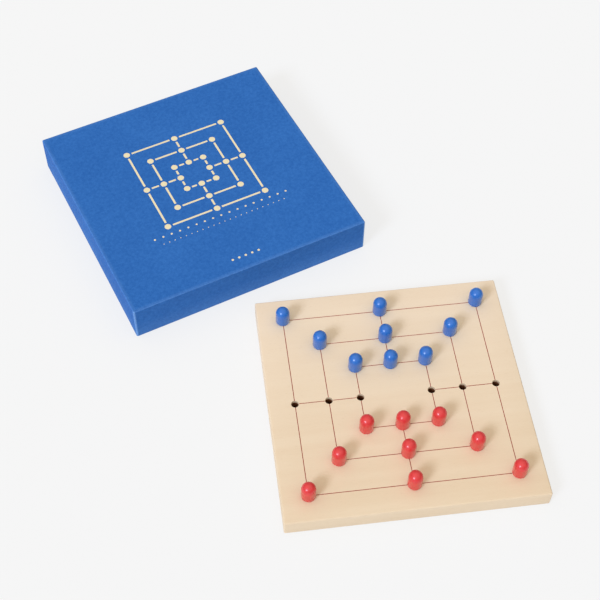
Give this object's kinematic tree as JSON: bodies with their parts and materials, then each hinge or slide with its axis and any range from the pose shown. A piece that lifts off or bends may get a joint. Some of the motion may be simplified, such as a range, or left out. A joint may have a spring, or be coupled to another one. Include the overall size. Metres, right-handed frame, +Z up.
{
  "type": "boxed peg board game",
  "caption": "Rigid card box with a full-depth lift-off lid, and the square wooden peg board from it with domed pegs standing in nested squares of holes.",
  "frame": {"origin": "centre of the box's underside, on the table", "axes": "+Z up out of the table; +X and +Y along the box's sides; the playing board stands on the -Y side of the box, turned 19.7 degrees clockwise"},
  "size_m": [0.2696, 0.4636, 0.032],
  "materials": {
    "blue_wrap": "fine linen texture, satin",
    "liner_paper": "uncoated matt",
    "stay_tape": "gummed kraft paper",
    "greyboard": "raw grey board",
    "insert_card": "white-lined card, matt",
    "leaflet_paper": "uncoated matt",
    "pale_wood": "smooth satin varnish over pale wood",
    "blue_lacquer": "gloss lacquer over turned wood",
    "red_lacquer": "gloss lacquer over turned wood"
  },
  "bodies": {
    "base_tray": {"tray_corner_stays": "stay_tape", "tray_greyboard": "greyboard", "tray_wrap": "blue_wrap", "tray_floor_liner": "liner_paper", "insert_platform": "insert_card"},
    "rules_leaflet": {"rules_leaflet": "leaflet_paper"},
    "lid": {"lid_corner_stays": "stay_tape", "lid_greyboard": "greyboard", "lid_wrap": "blue_wrap", "lid_liner": "liner_paper"},
    "playing_board": {"playing_board": "pale_wood"},
    "blue_peg_1": {"blue_peg_1": "blue_lacquer"},
    "blue_peg_2": {"blue_peg_2": "blue_lacquer"},
    "blue_peg_3": {"blue_peg_3": "blue_lacquer"},
    "blue_peg_4": {"blue_peg_4": "blue_lacquer"},
    "blue_peg_5": {"blue_peg_5": "blue_lacquer"},
    "blue_peg_6": {"blue_peg_6": "blue_lacquer"},
    "blue_peg_7": {"blue_peg_7": "blue_lacquer"},
    "blue_peg_8": {"blue_peg_8": "blue_lacquer"},
    "blue_peg_9": {"blue_peg_9": "blue_lacquer"},
    "red_peg_1": {"red_peg_1": "red_lacquer"},
    "red_peg_2": {"red_peg_2": "red_lacquer"},
    "red_peg_3": {"red_peg_3": "red_lacquer"},
    "red_peg_4": {"red_peg_4": "red_lacquer"},
    "red_peg_5": {"red_peg_5": "red_lacquer"},
    "red_peg_6": {"red_peg_6": "red_lacquer"},
    "red_peg_7": {"red_peg_7": "red_lacquer"},
    "red_peg_8": {"red_peg_8": "red_lacquer"},
    "red_peg_9": {"red_peg_9": "red_lacquer"}
  },
  "joints": [
    {"name": "lid_lift", "type": "slide", "parent": "base_tray", "child": "lid", "axis": [0, 0, 1], "range_m": [0, 0.1]},
    {"name": "leaflet_lift", "type": "slide", "parent": "base_tray", "child": "rules_leaflet", "axis": [0, 0, 1], "range_m": [0, 0.015]},
    {"name": "board_lift", "type": "slide", "parent": "base_tray", "child": "playing_board", "axis": [0, 0, 1], "range_m": [0, 0.08]},
    {"name": "blue_peg_1_lift", "type": "slide", "parent": "playing_board", "child": "blue_peg_1", "axis": [0, 0, 1], "range_m": [0, 0.03]},
    {"name": "blue_peg_2_lift", "type": "slide", "parent": "playing_board", "child": "blue_peg_2", "axis": [0, 0, 1], "range_m": [0, 0.03]},
    {"name": "blue_peg_3_lift", "type": "slide", "parent": "playing_board", "child": "blue_peg_3", "axis": [0, 0, 1], "range_m": [0, 0.03]},
    {"name": "blue_peg_4_lift", "type": "slide", "parent": "playing_board", "child": "blue_peg_4", "axis": [0, 0, 1], "range_m": [0, 0.03]},
    {"name": "blue_peg_5_lift", "type": "slide", "parent": "playing_board", "child": "blue_peg_5", "axis": [0, 0, 1], "range_m": [0, 0.03]},
    {"name": "blue_peg_6_lift", "type": "slide", "parent": "playing_board", "child": "blue_peg_6", "axis": [0, 0, 1], "range_m": [0, 0.03]},
    {"name": "blue_peg_7_lift", "type": "slide", "parent": "playing_board", "child": "blue_peg_7", "axis": [0, 0, 1], "range_m": [0, 0.03]},
    {"name": "blue_peg_8_lift", "type": "slide", "parent": "playing_board", "child": "blue_peg_8", "axis": [0, 0, 1], "range_m": [0, 0.03]},
    {"name": "blue_peg_9_lift", "type": "slide", "parent": "playing_board", "child": "blue_peg_9", "axis": [0, 0, 1], "range_m": [0, 0.03]},
    {"name": "red_peg_1_lift", "type": "slide", "parent": "playing_board", "child": "red_peg_1", "axis": [0, 0, 1], "range_m": [0, 0.03]},
    {"name": "red_peg_2_lift", "type": "slide", "parent": "playing_board", "child": "red_peg_2", "axis": [0, 0, 1], "range_m": [0, 0.03]},
    {"name": "red_peg_3_lift", "type": "slide", "parent": "playing_board", "child": "red_peg_3", "axis": [0, 0, 1], "range_m": [0, 0.03]},
    {"name": "red_peg_4_lift", "type": "slide", "parent": "playing_board", "child": "red_peg_4", "axis": [0, 0, 1], "range_m": [0, 0.03]},
    {"name": "red_peg_5_lift", "type": "slide", "parent": "playing_board", "child": "red_peg_5", "axis": [0, 0, 1], "range_m": [0, 0.03]},
    {"name": "red_peg_6_lift", "type": "slide", "parent": "playing_board", "child": "red_peg_6", "axis": [0, 0, 1], "range_m": [0, 0.03]},
    {"name": "red_peg_7_lift", "type": "slide", "parent": "playing_board", "child": "red_peg_7", "axis": [0, 0, 1], "range_m": [0, 0.03]},
    {"name": "red_peg_8_lift", "type": "slide", "parent": "playing_board", "child": "red_peg_8", "axis": [0, 0, 1], "range_m": [0, 0.03]},
    {"name": "red_peg_9_lift", "type": "slide", "parent": "playing_board", "child": "red_peg_9", "axis": [0, 0, 1], "range_m": [0, 0.03]}
  ]
}
